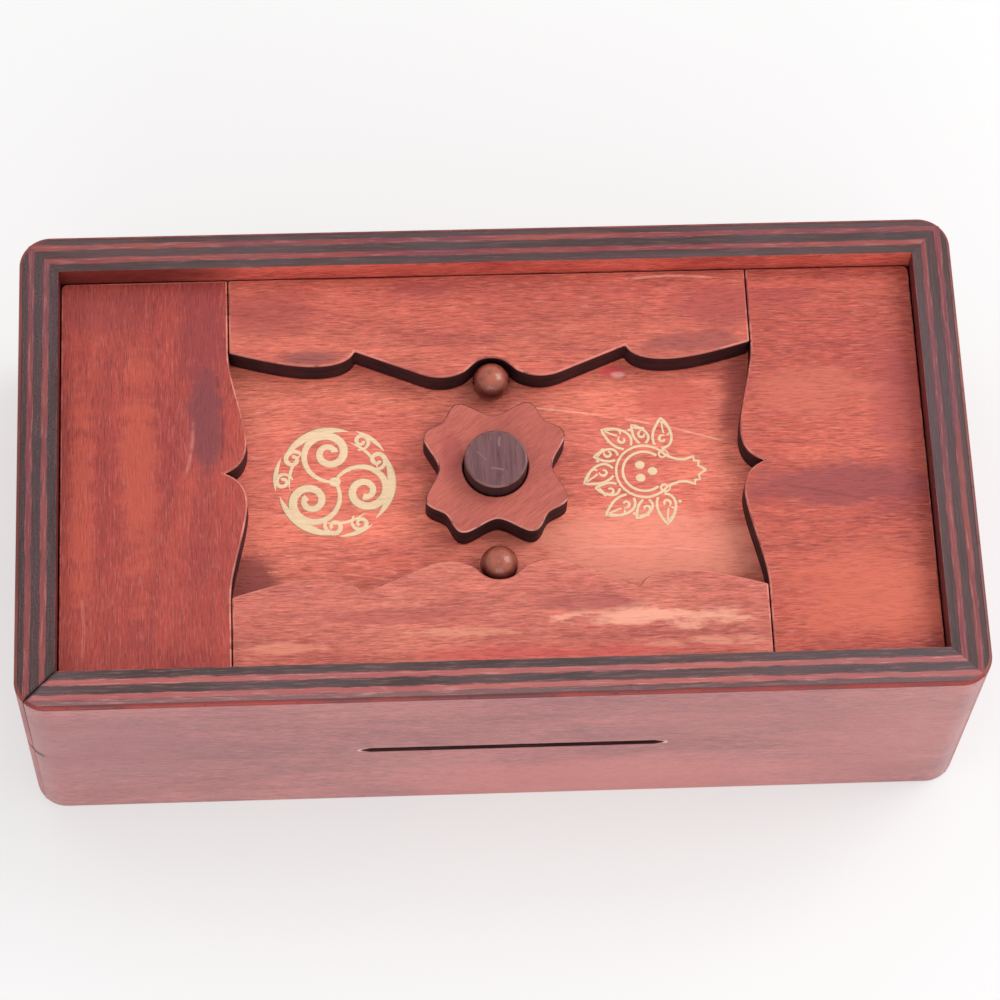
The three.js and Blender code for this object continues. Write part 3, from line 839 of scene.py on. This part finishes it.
LEFT_CENTRE = (-40.7, 0.5)
RIGHT_CENTRE = (38.3, 1.3)
deck_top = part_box("deck")[1][2]
THIRD = math.tau / 3
scrolls = [dot(0, 0, 1.5)]
for step in range(3):
    for stroke in (
            spiral((-1.4, 8.0), math.radians(-80), -1, 8.2, 0.155, 1.75, 1.45),
            spiral((10.9, 5.9), math.radians(215), 1, 3.1, 0.16, 1.35, 0.85),
            spiral((6.9, 11.3), math.radians(250), 1, 2.6, 0.16, 1.3, 0.80),
            crescent(14.5, math.radians(75), math.radians(152), 1.25),
            crescent(15.2, math.radians(33), math.radians(68), 0.65),
            crescent(11.6, math.radians(14), math.radians(70), 0.45)):
        scrolls.append(turned_stroke(stroke, THIRD * step))
painted_roundel("left_roundel", LEFT_CENTRE, scrolls, deck_top)

LINE = 0.38
leaves = []
for step in range(9):
    angle = math.radians(60 + 30 * step)
    lean = math.radians(11) * (1 if step < 4.5 else -1)
    tip, half_width = ((15.8, 2.9), (13.4, 2.1))[step % 2]
    leaves.append(leaf(angle, 8.0, tip, half_width, lean, LINE))
    leaves.append(leaf(angle, 12.0, tip - 0.8, half_width * 0.4, lean * 0.9, LINE * 0.7))
    curl = [(x + 10.4, y, width) for x, y, width in spiral((0, 0), 0, 1, 1.15, 0.15, 0.8, 0.50)]
    leaves.append(turned_stroke(curl, angle))
    leaves.append(dot(12.2 * math.cos(angle + THIRD / 8), 12.2 * math.sin(angle + THIRD / 8), 0.45))
leaves += [arc(7.2, 40, 321, 7, 0.36), arc(5.5, 52, 309, 8, LINE)]
TAIL = ((5.8, 4.4), (7.4, 3.6), (9.0, 3.1), (10.6, 3.1), (12.0, 3.6),
        (12.8, 3.9), (12.9, 2.7), (14.2, 2.6), (13.9, 1.3), (15.9, 0))
tail = [(x, y, LINE) for x, y in TAIL]
for half_tail in (tail, spiral((5.0, 4.6), math.radians(-20), 1, 1.5, 0.13, 1.1, 0.42)):
    leaves += [half_tail, mirrored_stroke(half_tail)]
for step in range(3):
    angle = THIRD * step
    leaves.append(dot(2.1 * math.cos(angle), 2.1 * math.sin(angle), 1.25))
painted_roundel("right_roundel", RIGHT_CENTRE, leaves, deck_top)


# ---------------------------------------------------------------- lid panels
# Four 8 mm boards sawn to an ogee on their inner edge and glued on the deck.
# The sawn edge is scorched nearly black; the arris is rubbed lighter.
PANEL_EASE = 0.00045
EDGE_PLIES = 2.5


def scorched_edge(name, low, thick):
    """A sawn and scorched edge with faint plies lying flat in it."""
    material, tree, shader = new_material(name)
    place = place_on(tree)
    parts = tree.nodes.new("ShaderNodeSeparateXYZ")
    value_into(tree, parts.inputs[0], place)
    height = maths(tree, "DIVIDE", minus(tree, parts.outputs[2], low), thick)
    ragged = noise(tree, place, (160, 160, 160), 4, 0.6)
    wave = maths(tree, "SINE", times(tree, times_plus(tree, ragged, 0.1, height), math.tau * EDGE_PLIES))
    soot = between(tree, ragged, 0.35, 0.65)
    colour = blend_colour(tree, soot, (0.012, 0.003, 0.005), (0.034, 0.008, 0.009))
    ply = times(tree, between(tree, wave, 0.2, 0.9), 0.5)
    colour = blend_colour(tree, ply, colour, (0.030, 0.013, 0.024))
    value_into(tree, shader.inputs["Base Color"], colour)
    shader.inputs["Roughness"].default_value = 0.6
    shader.inputs["Specular IOR Level"].default_value = 0.25
    value_into(tree, shader.inputs["Normal"], bump(tree, wave, 0.00008, 0.6))
    return material


panel_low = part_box("left_panel")[0][2]
panel_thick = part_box("left_panel")[1][2] - panel_low
panel_edge = scorched_edge("scorched panel edge", panel_low, panel_thick)
panel_arris = arris_material("rubbed panel arris", (0.36, 0.070, 0.052), (0.66, 0.21, 0.16), 5)

PANELS = {
    "left_panel": veneer_material(
        "left panel stain", 31, pale=(0.425, 0.063, 0.043), mid=(0.335, 0.045, 0.037),
        deep=(0.19, 0.023, 0.026), gloss=0.40, turn=ALONG_Y, figure=0.22, streaky=0.9,
        patches=[
            ((0.55, 0.098, 0.058), (-90, 0, 60), (6, 42, 20), 0.6, 0.7),
            ((0.62, 0.110, 0.065), (-104, -8, 60), (4, 40, 20), 0.4, 0.8),
            ((0.19, 0.042, 0.052), (-73, 15, 60), (5.6, 20, 20), 0.8, 0.5),
            ((0.26, 0.038, 0.044), (-74, 42, 60), (8, 20, 20), 0.6, 0.7),
            ((0.28, 0.045, 0.045), (-100, 46, 60), (14, 8, 20), 0.5, 0.7),
        ],
        scratches=[
            ((0.72, 0.26, 0.20), (-76, 14), (-79, -4), 0.7, 0.40),
            ((0.66, 0.20, 0.15), (-104, -34), (-104, -50), 0.7, 0.35),
            ((0.16, 0.020, 0.022), (-70, 27), (-69, 4), 0.5, 0.6),
        ]),
    "right_panel": veneer_material(
        "right panel stain", 32, pale=(0.535, 0.108, 0.070), mid=(0.435, 0.074, 0.053),
        deep=(0.26, 0.034, 0.034), gloss=0.40, figure=0.26,
        patches=[
            ((0.28, 0.056, 0.060), (89, -7, 60), (33, 8, 20), 0.8, 0.7),
            ((0.42, 0.075, 0.070), (104, 14, 60), (9, 26, 20), 0.6, 0.7),
            ((0.64, 0.140, 0.085), (92, -38, 60), (26, 16, 20), 0.7, 0.7),
            ((0.60, 0.150, 0.100), (82, 20, 60), (20, 8, 20), 0.5, 0.7),
            ((0.36, 0.055, 0.055), (76, 46, 60), (12, 4, 20), 0.5, 0.8),
        ],
        scratches=[
            ((0.20, 0.030, 0.035), (72, -7), (108, -17), 0.6, 0.45),
            ((0.20, 0.030, 0.035), (72, 5), (100, 1), 0.5, 0.4),
        ]),
    "rear_panel": veneer_material(
        "rear panel stain", 33, pale=(0.60, 0.140, 0.092), mid=(0.485, 0.094, 0.067),
        deep=(0.28, 0.040, 0.038), gloss=0.40, figure=0.28,
        patches=[
            ((0.20, 0.060, 0.060), (-46, 32, 60), (10, 3, 20), 0.65, 0.7),
            ((0.24, 0.055, 0.055), (52, 34, 60), (16, 4, 20), 0.6, 0.7),
            ((0.30, 0.050, 0.050), (-16, 51, 60), (12, 2.6, 20), 0.6, 0.8),
            ((0.32, 0.050, 0.048), (-58, 45, 60), (18, 9, 20), 0.6, 0.7),
            ((0.36, 0.060, 0.055), (60, 45, 60), (16, 9, 20), 0.6, 0.7),
        ],
        scratches=[((0.98, 0.55, 0.42), (36, 52.5), (58, 52.5), 0.5, 0.4)]),
    "front_panel": veneer_material(
        "front panel stain", 34, pale=(0.62, 0.172, 0.122), mid=(0.50, 0.118, 0.088),
        deep=(0.33, 0.056, 0.048), gloss=0.42, figure=0.22,
        patches=[
            ((0.92, 0.430, 0.300), (40, -41.5, 60), (22, 3.2, 20), 0.7, 1.7),
            ((0.88, 0.360, 0.240), (-12, -45, 60), (20, 1.6, 20), 0.4, 1.7),
            ((0.86, 0.330, 0.220), (-52, -48, 60), (13, 1.8, 20), 0.5, 1.5),
            ((0.88, 0.380, 0.260), (50, -49, 60), (16, 1.6, 20), 0.5, 1.5),
            ((0.34, 0.075, 0.070), (20, -38, 60), (20, 2.6, 20), 0.55, 0.9),
            ((0.38, 0.075, 0.068), (-30, -40, 60), (22, 3.0, 20), 0.5, 0.9),
            ((0.62, 0.085, 0.080), (10, -51, 60), (40, 2.0, 20), 0.5, 0.8),
        ]),
}
for node, material in PANELS.items():
    panel = eased_copy(node, node + "_board", PANEL_EASE, [material, panel_arris, panel_edge])
    for face in panel.data.polygons:
        if stands_upright(face) or face.material_index == VENEER and not lies_up(face):
            face.material_index = SHEET_EDGE
    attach(panel, "root")
    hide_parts(node)


# ---------------------------------------------------------------- rosette
# An eight-lobed knob plate sawn from 8 mm board, matt red-brown, its edge scorched like the panels'.
# Its front arrises are rubbed pale by fingers, and the rear-facing ones are painted dark as painted shade.
rosette_top = veneer_material(
    "rosette stain", 41, pale=(0.51, 0.122, 0.088), mid=(0.41, 0.090, 0.070),
    deep=(0.25, 0.044, 0.040), gloss=0.5, turn=(0, 0, math.radians(-38)),
    figure=0.16, figure_size=2.0, streaky=0.42,
    # Painted shade: a darker patch on the plate just left of the knob, where the knob shades it.
    patches=[((0.34, 0.055, 0.060), (-11, 4, 60), (3.5, 9, 20), 0.5, 0.5)])
rosette_edge = scorched_edge("scorched rosette edge", panel_low, panel_thick)
rosette_arris = arris_material("rubbed rosette arris", (0.40, 0.11, 0.09), (0.62, 0.27, 0.21), 6)
rosette_rear_arris_shade = arris_material("rosette rear arris, painted shade", (0.13, 0.022, 0.022), (0.30, 0.06, 0.05), 9)
REAR_ARRIS = 3
ROSETTE_EASE = 0.0005
rosette = eased_copy(
    "rosette", "rosette_plate", ROSETTE_EASE, [rosette_top, rosette_arris, rosette_edge, rosette_rear_arris_shade])
for face in rosette.data.polygons:
    if stands_upright(face) or face.material_index == VENEER and not lies_up(face):
        face.material_index = SHEET_EDGE
    # Arrises facing the rear take the dark copy: painted shade on the side turned from the light.
    elif face.material_index == ARRIS_SLOT and face.normal.y > -0.1:
        face.material_index = REAR_ARRIS
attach(rosette, "rosette_lock")
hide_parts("rosette")


# ---------------------------------------------------------------- knob
# A 16 mm dowel glued through the rosette, its end grain dark and scuffed, its side nearly black.
knob_top, tree, shader = new_material("knob end grain")
place = place_on(tree, turn=(0, 0, math.radians(88)))
streaks = noise(tree, place, (90, 1300, 300), 4, 0.6)
checks = between(tree, noise(tree, place, (120, 1900, 300), 3, 0.6), 0.60, 0.70)
scuffs = between(tree, noise(tree, place, (500, 500, 500), 5, 0.7, 0.8), 0.62, 0.76)
colour = blend_colour(tree, between(tree, streaks, 0.32, 0.68), (0.170, 0.070, 0.074), (0.112, 0.042, 0.050))
colour = blend_colour(tree, times(tree, checks, 0.55), colour, (0.070, 0.022, 0.028))
colour = blend_colour(tree, times(tree, scuffs, 0.35), colour, (0.46, 0.30, 0.28))
plain = place_on(tree)
for start, finish in (((-4.6, 1.9), (-2.6, -0.2)), ((-1.2, -2.6), (1.7, -3.1)), ((0.9, 3.6), (1.1, 5.8))):
    colour = scratch(tree, plain, colour, (0.46, 0.32, 0.31), start, finish, 0.40, 0.28)
value_into(tree, shader.inputs["Base Color"], colour)
value_into(tree, shader.inputs["Roughness"], times_plus(tree, streaks, 0.3, 0.40))
value_into(tree, shader.inputs["Normal"], bump(tree, minus(tree, streaks, checks), 0.0001))
shader.inputs["Specular IOR Level"].default_value = 0.4

knob_side, tree, shader = new_material("knob side grain")
place = place_on(tree)
lengthways = noise(tree, place, (900, 900, 160), 4, 0.6)
soot = between(tree, lengthways, 0.35, 0.65)
colour = blend_colour(tree, soot, (0.030, 0.007, 0.008), (0.012, 0.003, 0.004))
value_into(tree, shader.inputs["Base Color"], colour)
value_into(tree, shader.inputs["Roughness"], times_plus(tree, lengthways, 0.3, 0.40))
value_into(tree, shader.inputs["Normal"], bump(tree, lengthways, 0.00008))
knob_arris = arris_material("rubbed knob arris", (0.12, 0.038, 0.040), (0.20, 0.085, 0.080), 10)

KNOB_EASE = 0.0006
KNOB_SIDE = 2
knob_low, knob_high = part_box("knob_dowel")
bpy.ops.object.select_all(action="DESELECT")
bpy.ops.mesh.primitive_cylinder_add(
    vertices=96, radius=(knob_high[0] - knob_low[0]) / 2, depth=knob_high[2] - knob_low[2],
    location=(0, 0, (knob_high[2] + knob_low[2]) / 2))
knob = bpy.context.object
knob.name = "knob"
bpy.ops.object.transform_apply(location=True)
for material in (knob_top, knob_arris, knob_side):
    knob.data.materials.append(material)
rounding = knob.modifiers.new("eased end", "BEVEL")
rounding.width = KNOB_EASE
rounding.segments = 4
rounding.limit_method = "ANGLE"
rounding.angle_limit = math.radians(60)
rounding.material = ARRIS_SLOT
bpy.ops.object.modifier_apply(modifier=rounding.name)
for face in knob.data.polygons:
    face.use_smooth = abs(face.normal.z) < 0.9999
    if abs(face.normal.z) < 0.35:
        face.material_index = KNOB_SIDE
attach(knob, "rosette_lock")
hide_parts("knob_dowel")


# ---------------------------------------------------------------- ball pegs
# Turned balls on thin dowels, dipped in a glossy brown varnish, and darker towards the foot: partly varnish
# run there, partly painted shade from the deck.
ball_material, tree, shader = new_material("varnished ball")
place = place_on(tree)
parts = tree.nodes.new("ShaderNodeSeparateXYZ")
value_into(tree, parts.inputs[0], place)
ball_low, ball_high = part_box("rear_ball")
rise = maths(tree, "DIVIDE", minus(tree, parts.outputs[2], ball_low[2]), ball_high[2] - ball_low[2])
lines = noise(tree, place, (420, 420, 160), 4, 0.6, 0.5)
mottle = between(tree, noise(tree, place, (240, 240, 240), 4, 0.6), 0.35, 0.65)
colour = blend_colour(tree, mottle, (0.44, 0.115, 0.066), (0.31, 0.072, 0.044))
colour = blend_colour(tree, times(tree, between(tree, lines, 0.52, 0.70), 0.6), colour, (0.16, 0.030, 0.024))
# Darker towards the foot by height: partly run varnish, partly painted shade where the deck hides the light.
foot_run_and_shade = minus(tree, 1, between(tree, times_plus(tree, mottle, 0.10, rise), 0.66, 1.06))
colour = blend_colour(tree, times(tree, foot_run_and_shade, 0.92), colour, (0.085, 0.013, 0.011))
value_into(tree, shader.inputs["Base Color"], colour)
value_into(tree, shader.inputs["Roughness"], times_plus(tree, mottle, 0.14, 0.22))
value_into(tree, shader.inputs["Normal"], bump(tree, lines, 0.00006))
shader.inputs["Specular IOR Level"].default_value = 0.35
shader.inputs["Coat Weight"].default_value = 0.35
shader.inputs["Coat Roughness"].default_value = 0.10

for side in ("rear", "front"):
    low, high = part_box(side + "_ball")
    radius = (high[0] - low[0]) / 2
    centre = (0, (low[1] + high[1]) / 2, high[2] - radius)
    bpy.ops.object.select_all(action="DESELECT")
    bpy.ops.mesh.primitive_uv_sphere_add(segments=64, ring_count=40, radius=radius, location=centre)
    ball = bpy.context.object
    ball.name = side + "_turned_ball"
    bpy.ops.object.transform_apply(location=True)
    bpy.ops.object.mode_set(mode="EDIT")
    bpy.ops.mesh.select_all(action="SELECT")
    bpy.ops.mesh.bisect(
        plane_co=(0, centre[1], low[2]), plane_no=(0, 0, 1), clear_inner=True, use_fill=True)
    bpy.ops.object.mode_set(mode="OBJECT")
    ball.data.materials.append(ball_material)
    for face in ball.data.polygons:
        face.use_smooth = face.normal.z > -0.999
    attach(ball, side + "_ball_peg")
    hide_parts(side + "_ball")
    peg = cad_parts[side + "_peg"]
    peg.data.materials.clear()
    peg.data.materials.append(ball_material)


# ---------------------------------------------------------------- inner boards
# Base, partition, drawers, catches and the lock's cam: unfinished birch, seen when a drawer is out.
bare_birch, tree, shader = new_material("bare birch")
place = place_on(tree)
colour, grain = stained_birch(
    tree, place, 51, pale=(0.74, 0.57, 0.38), mid=(0.66, 0.48, 0.30), deep=(0.44, 0.28, 0.15),
    figure=0.25, figure_size=1.0, streaky=0.7)
value_into(tree, shader.inputs["Base Color"], colour)
shader.inputs["Roughness"].default_value = 0.62
value_into(tree, shader.inputs["Normal"], bump(tree, grain["Height"], 0.00005))
INNER = ["base_panel", "drawer_partition", "lock_cam", "right_catch", "left_catch"]
for side in ("left", "right"):
    INNER += [f"{side}_drawer_{part}" for part in ("floor", "front_side", "rear_side", "back")]
for node in INNER:
    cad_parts[node].data.materials.clear()
    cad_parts[node].data.materials.append(bare_birch)
